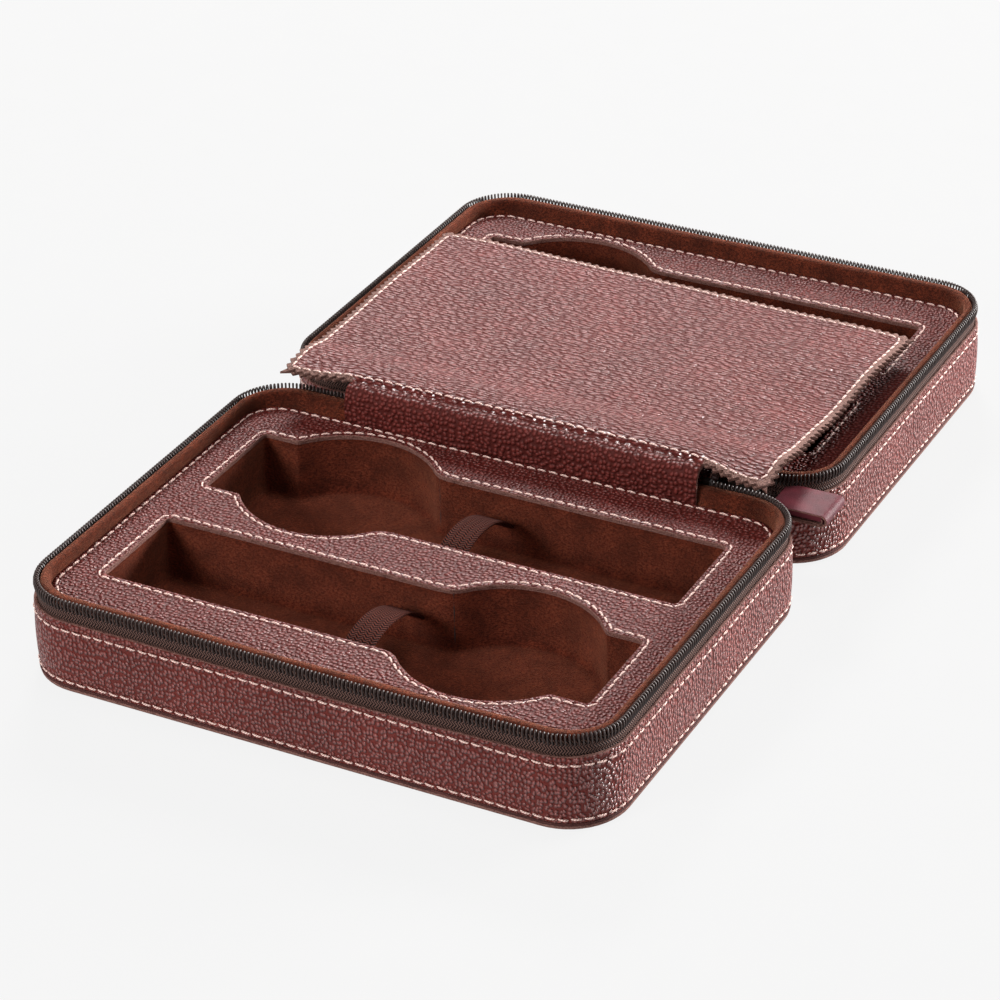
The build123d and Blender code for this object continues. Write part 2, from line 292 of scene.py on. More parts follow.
class Part:
    """Collects patches in mm and turns them into one object."""

    def __init__(self):
        self.v, self.faces, self.uvs, self.mats, self.count = [], [], [], [], 0

    def _quads(self, quads, uv, mat):
        self.faces.extend(quads.tolist())
        self.uvs.append(uv.reshape(-1, 2))
        self.mats.append(np.broadcast_to(mat, (len(quads),)))

    @staticmethod
    def _cells(nu, nv):
        return [x.ravel() for x in np.meshgrid(np.arange(nu), np.arange(nv), indexing="ij")]

    @staticmethod
    def _corners(u, v, i, j):
        return np.stack([np.stack([u[i], u[i + 1], u[i + 1], u[i]], 1),
                         np.stack([v[j], v[j], v[j + 1], v[j + 1]], 1)], 2)

    def grid(self, p, u, v, mat=0, wrap_u=False, wrap_v=False):
        """p is (nu, nv, 3); u and v are lengths along the patch.
        mat is one index, or one per step of v, or one per face."""
        nu, nv = p.shape[:2]
        a, b = self._cells(nu if wrap_u else nu - 1, nv if wrap_v else nv - 1)
        a2, b2 = (a + 1) % nu, (b + 1) % nv
        quads = np.stack([a * nv + b, a2 * nv + b, a2 * nv + b2, a * nv + b2], 1) + self.count
        pick = np.asarray(mat)
        pick = pick if pick.ndim == 0 else pick[b] if pick.ndim == 1 else pick[a, b]
        self._quads(quads, self._corners(u, v, a, b), pick)
        self.v.append(p.reshape(-1, 3))
        self.count += nu * nv

    def tubes(self, c, n, b, rn, rb, sides, u, mat=0):
        """Many short tubes at once: c, n and b are (tubes, rings, 3), rn and rb (rings,), u (rings,)."""
        k, r = c.shape[:2]
        a = 2 * np.pi * np.arange(sides) / sides
        ring_n = (rn[:, None] * np.cos(a))[None, :, :, None]
        ring_b = (rb[:, None] * np.sin(a))[None, :, :, None]
        p = c[:, :, None] + n[:, :, None] * ring_n + b[:, :, None] * ring_b
        i, s = self._cells(r - 1, sides)
        s2 = (s + 1) % sides
        one = np.stack([i * sides + s, (i + 1) * sides + s, (i + 1) * sides + s2, i * sides + s2], 1)
        quads = (one[None] + (np.arange(k) * r * sides)[:, None, None]).reshape(-1, 4) + self.count
        uv = self._corners(u, 0.3 * np.arange(sides + 1), i, s)
        self._quads(quads, np.tile(uv, (k, 1, 1)), mat)
        self.v.append(p.reshape(-1, 3))
        self.count += k * r * sides

    def fill(self, outer, holes, level, mat=0, axis=2):
        """Flat face inside a loop, less its holes, at one level along an axis and square to it."""
        loops = [outer, *holes]
        edges, at = [], 0
        for loop in loops:
            edges += [(at + i, at + (i + 1) % len(loop)) for i in range(len(loop))]
            at += len(loop)
        points = [Vector(p) for p in np.vstack(loops)]
        out, _, tris, *_ = delaunay_2d_cdt(points, edges, [], 0 if holes else 1, 1e-5)
        out = np.array([(p.x, p.y) for p in out])
        keep = [t for t in tris if self._inside(out[list(t)].mean(0), outer)
                and not any(self._inside(out[list(t)].mean(0), h) for h in holes)]
        self.v.append(np.insert(out, axis, level, axis=1))
        for t in keep:
            self.faces.append([i + self.count for i in t])
            self.uvs.append(out[list(t)])
            self.mats.append(np.array([mat]))
        self.count += len(out)

    @staticmethod
    def _inside(p, loop):
        x, y = loop[:, 0], loop[:, 1]
        x2, y2 = np.roll(x, -1), np.roll(y, -1)
        at = (x2 - x) * (p[1] - y) / np.where(y2 == y, 1e-12, y2 - y) + x
        return bool((((y > p[1]) != (y2 > p[1])) & (p[0] < at)).sum() % 2)

    def shift(self, y):
        for v in self.v:
            v[:, 1] += y
        return self

    def object(self, name, materials, slot, weld=0.0):
        me = bpy.data.meshes.new(name)
        me.from_pydata((np.vstack(self.v) * MM).tolist(), [], self.faces)
        for m in materials:
            me.materials.append(m)
        me.uv_layers.new(name="UVMap").data.foreach_set("uv", np.vstack(self.uvs).astype(np.float32).ravel())
        me.polygons.foreach_set("material_index", np.concatenate(self.mats).astype(np.int32))
        bm = bmesh.new()
        bm.from_mesh(me)
        if weld:
            bmesh.ops.remove_doubles(bm, verts=bm.verts, dist=weld * MM)
        bmesh.ops.recalc_face_normals(bm, faces=bm.faces)
        bm.to_mesh(me)
        bm.free()
        me.polygons.foreach_set("use_smooth", [True] * len(me.polygons))
        me.set_sharp_from_angle(angle=math.radians(50))
        o = bpy.data.objects.new(name, me)
        bpy.context.scene.collection.objects.link(o)
        return o


def lengths(p):
    return np.concatenate([[0], np.cumsum(np.linalg.norm(np.diff(p, axis=0), axis=1))])


def rounded(hx, hy, r, side=1, nx=40, ny=56, na=12):
    """Rounded rectangle from the middle of its hinge side: points and outward normals, (n, 2) each."""
    cx, cy = hx - r, hy - r
    pts, nrm = [], []

    def line(a, b, n, out):
        t = np.arange(n)[:, None] / n
        pts.append(np.array(a) + (np.array(b) - np.array(a)) * t)
        nrm.append(np.tile(np.array(out, float), (n, 1)))

    def arc(x, y, start, n):
        t = np.radians(start - 90 * np.arange(n) / n)
        d = np.column_stack([np.cos(t), np.sin(t)])
        pts.append(np.array([x, y]) + d * r)
        nrm.append(d)

    line((0, hy), (cx, hy), nx, (0, 1))
    arc(cx, cy, 90, na)
    line((hx, cy), (hx, -cy), ny, (1, 0))
    arc(cx, -cy, 0, na)
    line((cx, -hy), (-cx, -hy), 2 * nx, (0, -1))
    arc(-cx, -cy, -90, na)
    line((-hx, -cy), (-hx, cy), ny, (-1, 0))
    arc(-cx, cy, 180, na)
    line((-cx, hy), (0, hy), nx, (0, 1))
    flip = np.array([1.0, side])
    return np.vstack(pts) * flip, np.vstack(nrm) * flip


def keyhole(side, grow, soften=2):
    """Outline of a watch compartment, grown outwards; side is +1 for the far one, -1 for the near one."""
    a, b, r, big = SLOT_X + grow, SLOT_Y + grow, max(1.6 + grow, 0.2), HEAD_R + grow
    dx = math.sqrt(big ** 2 - b ** 2)
    top, quarter = math.atan2(b, dx), math.pi / 2
    n_end, n_turn, n_run, n_head = 14, 5, 34, 26
    pts = []

    def line(p, q, n):
        t = np.arange(n)[:, None] / n
        pts.append(np.array(p) + (np.array(q) - np.array(p)) * t)

    def arc(x, y, radius, t0, t1, n):
        t = t0 + (t1 - t0) * np.arange(n) / n
        pts.append(np.column_stack([x + radius * np.cos(t), y + radius * np.sin(t)]))

    for head_x, flip in ((-side * HEAD_OFF, 1), (side * HEAD_OFF, -1)):
        start = len(pts)
        line((a, -(b - r)), (a, b - r), n_end)
        arc(a - r, b - r, r, 0, quarter, n_turn)
        line((a - r, b), (head_x + dx, b), n_run)
        arc(head_x, 0, big, top, math.pi - top, n_head)
        line((head_x - dx, b), (-a + r, b), n_run)
        arc(-a + r, b - r, r, quarter, 2 * quarter, n_turn)
        pts[start:] = [flip * p for p in pts[start:]]
    p = np.vstack(pts)
    # The two points of each half where the round widening meets the straight side
    meet = n_end + n_turn + n_run
    step = np.arange(len(p)) % (len(p) // 2)
    corner = (np.abs(step - meet) <= soften) | (np.abs(step - meet - n_head) <= soften)
    for _ in range(soften):
        p[corner] = ((np.roll(p, 1, 0) + 2 * p + np.roll(p, -1, 0)) / 4)[corner]
    return p + np.array([0, side * SLOT_OFF])


class Path:
    """A line with a surface normal at each point, read by length."""

    def __init__(self, pts, nrm, closed=True):
        if closed:
            pts, nrm = np.vstack([pts, pts[:1]]), np.vstack([nrm, nrm[:1]])
        self.p, self.n, self.closed, self.l = pts, nrm, closed, lengths(pts)
        self.total = self.l[-1]

    def at(self, l):
        l = np.mod(l, self.total) if self.closed else l
        take = lambda x: np.stack([np.interp(l, self.l, x[:, k]) for k in range(3)], -1)
        n = take(self.n)
        return take(self.p), n / np.linalg.norm(n, axis=-1, keepdims=True)

    def frame(self, l):
        """Point, normal, direction across and direction along."""
        p, n = self.at(l)
        t = self.at(l + 0.1)[0] - self.at(l - 0.1)[0]
        t = t / np.linalg.norm(t, axis=-1, keepdims=True)
        return p, n, np.cross(t, n), t


def level_path(xy, z, up=1.0):
    """A closed line at one height, facing up or down."""
    return Path(np.column_stack([xy, np.full(len(xy), z)]), np.tile([0.0, 0, up], (len(xy), 1)))


def stitch(part, path, pitch, seen, mat=0, thick=0.28):
    """One row of stitches: each dives into the leather at both ends and leans a little.
    A pair of parts shares the row out between the two sides of the flap's seam."""
    n = round(path.total / pitch)
    step = path.total / n
    t = np.array([-0.5, -0.44, -0.3, 0, 0.3, 0.44, 0.5])
    high = np.array([-0.36, -0.04, 0.15, 0.24, 0.15, -0.04, -0.36])
    r = thick * np.array([0.4, 0.72, 0.98, 1.05, 0.98, 0.72, 0.4])
    mid = (np.arange(n) + 0.5) * step + RNG.normal(0, 0.05, n)
    p, nn, b, _ = path.frame(mid[:, None] + t * seen * step / pitch)
    lean = 0.26 * t + RNG.normal(0, 0.05, (n, 1))
    c = p + nn * (high + RNG.normal(0, 0.02, (n, 1)))[..., None] + b * lean[..., None]
    split = isinstance(part, tuple)
    near = c[:, 3, 1] < HINGE_Y + SEAM_DY if split else np.ones(n, bool)
    for target, pick in zip(part if split else (part,), (near, ~near)):
        if pick.any():
            target.tubes(c[pick], nn[pick], b[pick], r, r * 1.12, 6, (t + 0.5) * seen, mat)


def dip(prefix, xy):
    """How far the near wall of the base has sunk with use, for points about the half's centre."""
    if prefix != "base":
        return np.zeros(len(xy))
    return np.exp(-((xy[:, 0] - 18) / 48) ** 2) * np.clip((-xy[:, 1] - 55) / 12, 0, 1)


def half_outline(side):
    p, n = rounded(HX, HY, CORNER, side)
    return p, n, lengths(np.vstack([p, p[:1]]))


def ring(part, side, profile, mats, sunk=None):
    """Sweeps a closed (inset, z) profile round the half's outline.
    sunk lowers its upper part, point by point."""
    p, n, u = half_outline(side)
    s, z = np.array(profile, float).T
    pts = np.concatenate([p[:, None] - n[:, None] * s[None, :, None],
                          np.broadcast_to(z[None, :, None], (len(p), len(z), 1))], 2)
    if sunk is not None:
        pts[..., 2] -= sunk[:, None] * np.clip((z - 21.9) / 2.0, 0, 1)[None]
    v = lengths(np.vstack([profile, profile[:1]]))
    part.grid(pts, u, v, mats, True, True)


def bands(part, loops, mats, wrap=True):
    """Skins a list of (loop, z), each loop (n, 2) with the same count, with lengths for the texture."""
    pts = np.stack([np.column_stack([l, np.full(len(l), z)]) for l, z in loops], 1)
    u = lengths(np.vstack([pts[:, 0], pts[:1, 0]]))
    v = lengths(pts[0])
    part.grid(pts, u, v, mats, wrap, False)


# ---------------------------------------------------------------- one half of the case
def wall(prefix, side, y):
    """Side wall of a half, with its two sewn rows. It bellies out a little between its pinched edges."""
    part = Part()
    profile = [(1.2, 2.2), (0.30, 2.2), (0.04, 2.45), (0.02, 2.9), (0.20, 3.35), (0.20, 3.65),
               (0.02, 4.15), (-0.10, 5.2), (-0.24, 7.6), (-0.32, 11), (-0.32, 14.5), (-0.22, 18),
               (-0.06, 20.3), (0.02, 21.1), (0.22, 21.55), (0.22, 21.85), (0.03, 22.4), (-0.03, 23.3),
               (0.0, 24.05), (0.12, 24.45), (0.26, 24.6), (1.0, 24.62), (1.16, 24.5), (1.2, 24.2),
               (1.2, 17.0)]
    mats = [CUT] * 2 + [FACE] * 17 + [CUT] * 4 + [FACE] * 2
    outline, n, _ = half_outline(side)
    ring(part, side, profile, mats, 1.15 * dip(prefix, outline))
    groove = 0.1
    for z in (3.5, 21.7):
        pts = np.column_stack([outline - n * groove, np.full(len(outline), z)])
        stitch(part, Path(pts, np.column_stack([n, np.zeros(len(n))])), 3.8, 3.2, SEWN)
    o = part.shift(y).object(f"{prefix}_wall_leather", [WALL_PAINTED_LIGHT, EDGE, THREAD], "leather")
    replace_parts(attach(o, prefix), f"{prefix}_wall")


def underside(prefix, side, y):
    """Leather on the table side, and the welt of cut edges between it and the wall."""
    part = Part()
    loop = lambda s: rounded(HX - s, HY - s, CORNER - s, side)[0]
    steps = [(1.9, 1.3), (0.3, 1.3), (0.12, 1.2), (0.08, 0.8), (0.12, 0.35), (0.4, 0.06), (1.0, 0.0),
             (2.4, 0.0), (3.0, 0.34), (3.4, 0.34), (4.0, 0.0), (6.0, 0.0)]
    bands(part, [(loop(s), z) for s, z in steps], [CUT] * 4 + [FACE] * 7)
    part.fill(loop(steps[-1][0]), [], 0.0)
    stitch(part, level_path(loop(3.2), 0.46, -1.0), 3.9, 2.8, SEWN, 0.2)
    o = part.shift(y).object(f"{prefix}_underside", [LEATHER, EDGE, THREAD], "leather")
    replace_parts(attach(o, prefix), f"{prefix}_bottom")
    welt = Part()
    ring(welt, side, [(2.0, 1.3), (0.1, 1.3), (-0.10, 1.4), (-0.14, 1.55), (-0.05, 1.68), (-0.15, 1.8),
                      (-0.13, 2.0), (0.0, 2.2), (0.25, 2.25), (2.0, 2.2)], 0)
    o = welt.shift(y).object(f"{prefix}_welt_edge", [WELT], "leather_edge")
    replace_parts(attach(o, prefix), f"{prefix}_welt")


def under_lining(dy):
    """Underside of the leather hinge, so that what lies under it stays clear."""
    return np.interp(-np.abs(dy), [-13.0, -11.9, -11.2, -10.0], [23.9, 24.0, 28.0, 30.4])


# Padded roll in section: (inset of its face from the outer wall along x, the same along y, z).
RIM_STEPS = [(4.05, 8.05, 24.35), (4.1, 8.0, 25.1), (4.2, 7.6, 26.0), (4.5, 7.0, 27.2), (4.75, 6.55, 28.3),
             (4.85, 6.2, 29.3), (4.65, 5.75, 30.1), (4.1, 5.1, 30.65), (3.5, 4.3, 30.85), (3.0, 3.4, 30.85),
             (2.6, 2.75, 30.6), (2.35, 2.4, 30.0), (2.15, 2.2, 29.0), (2.08, 2.08, 27.6), (2.05, 2.05, 25.5)]


def rim(prefix, side, y):
    """Padded suede roll round the tray; it dives under the leather hinge on that side."""
    part = Part()
    loops = []
    for k, (sx, sy, z) in enumerate(RIM_STEPS):
        p, n = rounded(HX - sx, HY - sy, CORNER - (sx + sy) / 2, side)
        wave = 0.16 * np.sin(p[:, 0] * 0.11 + k * 0.4) * np.sin(p[:, 1] * 0.13 + 1.0) * (3 < k < 11)
        high = z + wave * 0.5
        covered = np.clip((SPINE_X + 1.5 - np.abs(p[:, 0])) / 2.0, 0, 1) * (p[:, 1] * side > 60)
        low = np.minimum(high, under_lining(p[:, 1] * side - HINGE_Y) - 0.25)
        high = high + (low - high) * covered
        high = high - 0.7 * dip(prefix, p) * np.clip((z - 27) / 3, 0, 1)
        loops.append(np.column_stack([p - n * wave[:, None], high]))
    pts = np.stack(loops, 1)
    part.grid(pts, lengths(np.vstack([pts[:, 5], pts[:1, 5]])), lengths(pts[100]), 0, True)
    o = part.shift(y).object(f"{prefix}_rim_suede", [SUEDE], "suede")
    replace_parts(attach(o, prefix), f"{prefix}_rim")


def panel(prefix, side, y):
    """Leather tray panel with the two keyhole openings, sewn round its edge and round each of them."""
    part = Part()
    hx, hy, r = PANEL
    loop = lambda s: rounded(hx - s, hy - s, r - s, side)[0]
    z = PANEL_Z
    flat, seat = z + 0.06, z - 0.10
    steps = [(0.0, PANEL_Z0), (0.0, z - 0.45), (0.06, z - 0.16), (0.25, z), (0.9, z + 0.05),
             (1.28, z - 0.13), (1.62, z - 0.13), (1.95, z + 0.04), (2.25, flat), (2.5, flat)]
    bands(part, [(loop(s), h) for s, h in steps], [CUT] * 2 + [FACE] * 7)
    holes = []
    cut = [(0.0, PANEL_Z0), (0.0, z - 0.4), (0.05, z - 0.14), (0.22, z), (1.2, z + 0.05), (1.6, z - 0.13),
           (1.9, z - 0.13), (2.2, z + 0.04), (2.5, flat), (2.8, flat)]
    for k in (1, -1):
        bands(part, [(keyhole(k, s), h) for s, h in cut], [CUT] * 3 + [FACE] * 6)
        holes.append(keyhole(k, cut[-1][0]))
        stitch(part, level_path(keyhole(k, 1.8), seat), 3.7, 3.2, SEWN)
    part.fill(loop(steps[-1][0]), holes, flat)
    stitch(part, level_path(loop(1.5), seat), 3.9, 3.3, SEWN)
    o = part.shift(y).object(f"{prefix}_tray_panel", [LEATHER, EDGE, THREAD], "leather")
    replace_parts(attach(o, prefix), f"{prefix}_panel")


def compartment(prefix, y, k, word):
    """Suede lining of the far (k = 1) or near (k = -1) watch compartment."""
    part = Part()
    steps = [(0.30, 24.6), (0.08, 24.3), (0.04, 22.0), (0.12, 18.0), (0.05, 14.0), (0.14, 10.0), (0.06, 7.2),
             (-0.15, 6.0), (-0.6, 5.3), (-1.3, 5.02), (-2.2, FLOOR_Z)]
    bands(part, [(keyhole(k, s), z) for s, z in steps], 0)
    part.fill(keyhole(k, steps[-1][0]), [], FLOOR_Z)
    o = part.shift(y).object(f"{prefix}_{word}_pocket", [SUEDE_DARK], "suede_dark")
    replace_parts(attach(o, prefix), f"{prefix}_liner_{word}")


def strap(prefix, y, k, word):
    """Elastic strap arched over the same compartment, on the circle through the points of STRAP_ARCH."""
    (y0, z0), (ym, zm), (y1, z1) = STRAP_ARCH
    turn = np.array([[ym - y0, zm - z0], [y1 - y0, z1 - z0]])
    centre = np.linalg.solve(2 * turn, [ym**2 + zm**2 - y0**2 - z0**2, y1**2 + z1**2 - y0**2 - z0**2])
    big = math.hypot(y0 - centre[0], z0 - centre[1])
    a = [math.asin((y - centre[0]) / big) for y in (y0 - 0.6, y1 + 0.6)]
    rows, wide = 41, 21
    a = a[0] + (np.linspace(-1, 1, rows) + 1) / 2 * (a[1] - a[0])
    nrm = np.column_stack([np.sin(a), np.cos(a)])
    mid = centre + big * nrm
    w, h, rib_pitch = STRAP_W / 2 - 0.2, STRAP_T, 1.25
    across = np.concatenate([np.linspace(-w, w, wide), np.linspace(w, -w, wide)])
    rib = 0.07 * np.cos(across * 2 * np.pi / rib_pitch)
    depth = np.concatenate([rib[:wide], -h - rib[wide:]])
    depth[[0, wide - 1]] = -0.22 * h
    depth[[wide, -1]] = -0.78 * h
    pts = np.stack([np.column_stack([np.full(rows, STRAP_X + x), k * SLOT_OFF + mid[:, 0] + nrm[:, 0] * d,
                                     mid[:, 1] + nrm[:, 1] * d]) for x, d in zip(across, depth)], 1)
    closed = lengths(np.column_stack([np.append(across, across[0]), np.append(depth, depth[0])]))
    band = Part()
    band.grid(pts, lengths(mid), closed, 0, False, True)
    for end in (0, -1):
        tip = np.broadcast_to(pts[end].mean(0), pts[end].shape)
        band.grid(np.stack([pts[end], tip], 1), closed, np.array([0.0, 1.0]), 0, True)
    o = band.shift(y).object(f"{prefix}_{word}_strap", [ELASTIC], "elastic", weld=0.001)
    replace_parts(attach(o, prefix), f"{prefix}_strap_{word}")


def zip_side(prefix, side, y, offset):
    """Tape and coil round three sides and in to the ends of the leather hinge."""
    p, n, l = half_outline(side)
    start, stop = SPINE_X + 0.2, l[-1] - SPINE_X - 0.2
    path = Path(np.column_stack([p, np.zeros(len(p))]), np.column_stack([n, np.zeros(len(n))]))
    s = np.linspace(start, stop, 420)
    at, nn, _, _ = path.frame(s)
    profile = [(1.98, 17.0), (1.25, 17.0), (1.22, 24.0), (1.16, 25.4), (1.12, 26.6), (1.10, 27.5),
               (0.98, 27.75), (0.98, 28.05), (1.10, 28.3), (1.16, 29.0), (1.5, 29.3), (1.95, 29.0),
               (1.98, 24.0)]
    q = np.array(profile)
    pts = at[:, None] - nn[:, None] * q[None, :, :1]
    pts[..., 2] += q[None, :, 1] - dip(prefix, at)[:, None] * np.clip((q[None, :, 1] - 20) / 5, 0, 1)
    tape = Part()
    tape.grid(pts, s, lengths(np.vstack([profile, profile[:1]])), 0, False, True)
    o = tape.shift(y).object(f"{prefix}_zip_tape", [TAPE], "zip_tape")
    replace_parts(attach(o, prefix), f"{prefix}_tape")
    coil = Part()
    bare = 2.0
    run = stop - start - 2 * bare
    k = int(run / COIL_PITCH)
    mid = start + bare + (np.arange(k) + 0.5 + offset) * run / (k + 0.5)
    inset = np.array([1.00, 0.74, 0.55, 0.60, 0.86, 1.28, 1.72, 1.98, 2.04, 1.96, 1.78])
    high = np.array([27.9, 28.6, 29.5, 30.4, 31.1, 31.42, 31.1, 30.4, 29.5, 28.7, 28.0])
    drift = np.linspace(-0.24, 0.24, len(inset))
    wide = np.array([0.20, 0.25, 0.26, 0.27, 0.31, 0.34, 0.31, 0.27, 0.26, 0.25, 0.20])
    deep = np.array([0.22, 0.30, 0.30, 0.30, 0.31, 0.31, 0.31, 0.30, 0.30, 0.28, 0.2])
    c0, n0, _, t0 = path.frame(mid)
    c = c0[:, None] - n0[:, None] * inset[None, :, None] + t0[:, None] * drift[None, :, None]
    c[..., 2] += high - dip(prefix, c0)[:, None]
    ds, dz = np.gradient(inset), np.gradient(high)
    norm = np.hypot(ds, dz)
    out = n0[:, None] * (dz / norm)[None, :, None]
    out[..., 2] += ds / norm
    coil.tubes(c, out, np.broadcast_to(t0[:, None], c.shape), deep, wide, 8, np.linspace(0, 6, len(inset)))
    o = coil.shift(y).object(f"{prefix}_zip_teeth", [COIL], "zip_coil")
    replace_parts(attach(o, prefix), f"{prefix}_coil")


# ---------------------------------------------------------------- hinge, flap and zip end
def strip(part, top, low, x, mats):
    """Leather strip with a closed outline in the YZ plane, run along x."""
    outline = np.vstack([top, low[::-1]])
    pts = np.stack([np.column_stack([x, np.full(len(x), a), np.full(len(x), b)]) for a, b in outline], 1)
    v = lengths(np.vstack([outline, outline[:1]]))
    part.grid(pts, x, v, mats, False, True)
    n = len(top)
    for end in (0, -1):
        both = np.stack([pts[end, :n], pts[end, n:][::-1]], 1)
        part.grid(both, v[:n], np.array([0.0, 1.2]), CUT)


def smooth_line(points, n):
    """A smooth curve through a few profile points, by cubic Hermite pieces."""
    p = np.array(points, float)
    l = lengths(p)
    m = np.gradient(p, l, axis=0)
    t = np.linspace(0, l[-1], n)
    i = np.clip(np.searchsorted(l, t, side="right") - 1, 0, len(l) - 2)
    h = (l[i + 1] - l[i])[:, None]
    s = ((t - l[i])[:, None]) / h
    return ((1 + 2 * s) * (1 - s) ** 2 * p[i] + s * (1 - s) ** 2 * h * m[i]
            + s ** 2 * (3 - 2 * s) * p[i + 1] + s ** 2 * (s - 1) * h * m[i + 1])


def spine():
    """Leather hinge: the lining that arches over the gap, and the cover folded up between the walls."""
    x = np.linspace(-SPINE_X, SPINE_X, 63)
    part = Part()
    top = smooth_line([(-13.03, 24.85), (-13.02, 28.0), (-12.95, 31.0), (-12.7, 33.6), (-12.05, 35.7),
                       (-10.9, 37.1), (-9.4, 37.75), (-7.6, 37.9), (-5.5, 37.75), (-3.0, 37.6),
                       (0, 37.55)], 44)
    back = smooth_line([(1.0, 37.5), (5.0, 37.1), (9.0, 35.3), (11.4, 32.3), (12.6, 28.5),
                        (13.03, 24.85)], 24)
    low = smooth_line([(-11.85, 24.85), (-11.8, 30.0), (-11.5, 33.6), (-10.3, 35.6), (-7.8, 36.3),
                       (-3.0, 36.4), (0, 36.4), (4.6, 36.0), (8.1, 34.4), (10.3, 31.8), (11.4, 28.3),
                       (11.85, 24.85)], 40)
    outline = np.vstack([top, back, low[::-1]])
    outline[:, 0] += HINGE_Y
    sag = 0.16 * np.sin(x * 0.12) + 0.08 * np.sin(x * 0.31 + 1)
    pts = np.stack([np.column_stack([x, a + sag * (3 < k < 30), np.full(len(x), b)])
                    for k, (a, b) in enumerate(outline)], 1)
    v = lengths(np.vstack([outline, outline[:1]])) - 11.0
    part.grid(pts, x, v, 0, False, True)
    for end in (0, -1):
        part.fill(pts[end][:, 1:], [], x[end], CUT, axis=0)
    o = part.object("hinge_lining", [LINING, EDGE], "leather", weld=0.0005)
    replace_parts(o, "spine_lining")
    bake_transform(o)
    cover = Part()
    rise = [(-4.98, 20.05), (-4.98, 22.5), (-4.98, 24.9), (-4.2, 28.35), (-2.3, 30.35), (0, 30.95)]
    back = [(-3.82, 20.05), (-3.82, 22.5), (-3.8, 24.85), (-3.1, 27.6), (-1.7, 29.25), (0, 29.85)]
    fold = lambda half: smooth_line(half + [(-a, b) for a, b in half[-2::-1]], 41) + (HINGE_Y, 0)
    strip(cover, fold(rise), fold(back), x, 0)
    o = cover.object("hinge_cover", [LEATHER, EDGE], "leather", weld=0.0005)
    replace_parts(o, "spine_cover")
    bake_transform(o)


def smooth(t):
    t = np.clip(t, 0, 1)
    return t * t * (3 - 2 * t)


def sewn(x):
    """1 where the near edge of the flap is sewn down on the hinge, 0 at its free ends."""
    return smooth((66.0 - np.abs(x)) / 7.0)


def near_edge(x):
    left, right = FLAP_NEAR_L[1], FLAP_NEAR_R[1]
    free = left + (right - left) * (x - FLAP_NEAR_L[0]) / (FLAP_NEAR_R[0] - FLAP_NEAR_L[0])
    return free + (-8.0 - free) * smooth((76.0 - np.abs(x)) / 20.0)


def flap_top(x, dy):
    """Height of the flap: sewn over the crest of the hinge, then a gentle slope with the leather's waves."""
    z = np.interp(dy, [-12, -9, -6, -3, 0, 3, 6, 9, 12, 14],
                  [38.9, 39.3, 39.55, 39.68, 39.72, 39.6, 39.2, 38.5, 37.8, 37.4])
    z = z - np.maximum(dy - 14.0, 0) * FLAP_SLOPE
    far = np.clip((dy - 8) / 30, 0, 1)
    wave = 0.32 * np.sin(x * 0.043 + 0.6) * np.sin(dy * 0.05 + 0.4) + 0.16 * np.sin(x * 0.09 + dy * 0.07)
    edge = np.clip((x - 40) / 40, 0, 1) ** 2 * 0.6 * np.sin(dy * 0.105 + 0.5)
    edge = edge + np.clip((-x - 55) / 35, 0, 1) ** 2 * 0.4 * np.sin(dy * 0.09 + 2.0)
    droop = 1.9 * smooth((x - 58) / 28) * smooth((4 - dy) / 15)
    droop = droop + 0.3 * smooth((-x - 62) / 22) * smooth((2 - dy) / 12)
    return z + far * (wave + edge) - droop - 1.42 * sewn(x) * smooth((near_edge(x) + 3.4 - dy) / 3.2)


def flap_depth(x, dy):
    """Thickness of one layer, pared down to a thin edge where it is sewn on the hinge."""
    return FLAP_T * 0.95 * (1 - 0.88 * sewn(x) * smooth((near_edge(x) + 4.2 - dy) / 4.0))


def flap_grid(inset, nx, ny):
    """Points over the flap, inset from the tips of its edges. One line of them runs along the seam."""
    s, t = np.meshgrid(np.linspace(0, 1, nx + 1), np.linspace(0, 1, ny + 1), indexing="ij")
    mix = lambda a, b, k: a + (b - a) * k
    left = mix(FLAP_NEAR_L[0], FLAP_FAR_L[0], t) + inset
    right = mix(FLAP_NEAR_R[0], FLAP_FAR_R[0], t) - inset
    x = mix(left, right, s)
    far = mix(FLAP_FAR_L[1], FLAP_FAR_R[1], s) - inset
    near = near_edge(x) + inset * (1 - sewn(x))
    first = SEAM_ROW / FLAP_ROWS
    return x, np.where(t < first, mix(near, SEAM_DY, t / first), mix(SEAM_DY, far, (t - first) / (1 - first)))


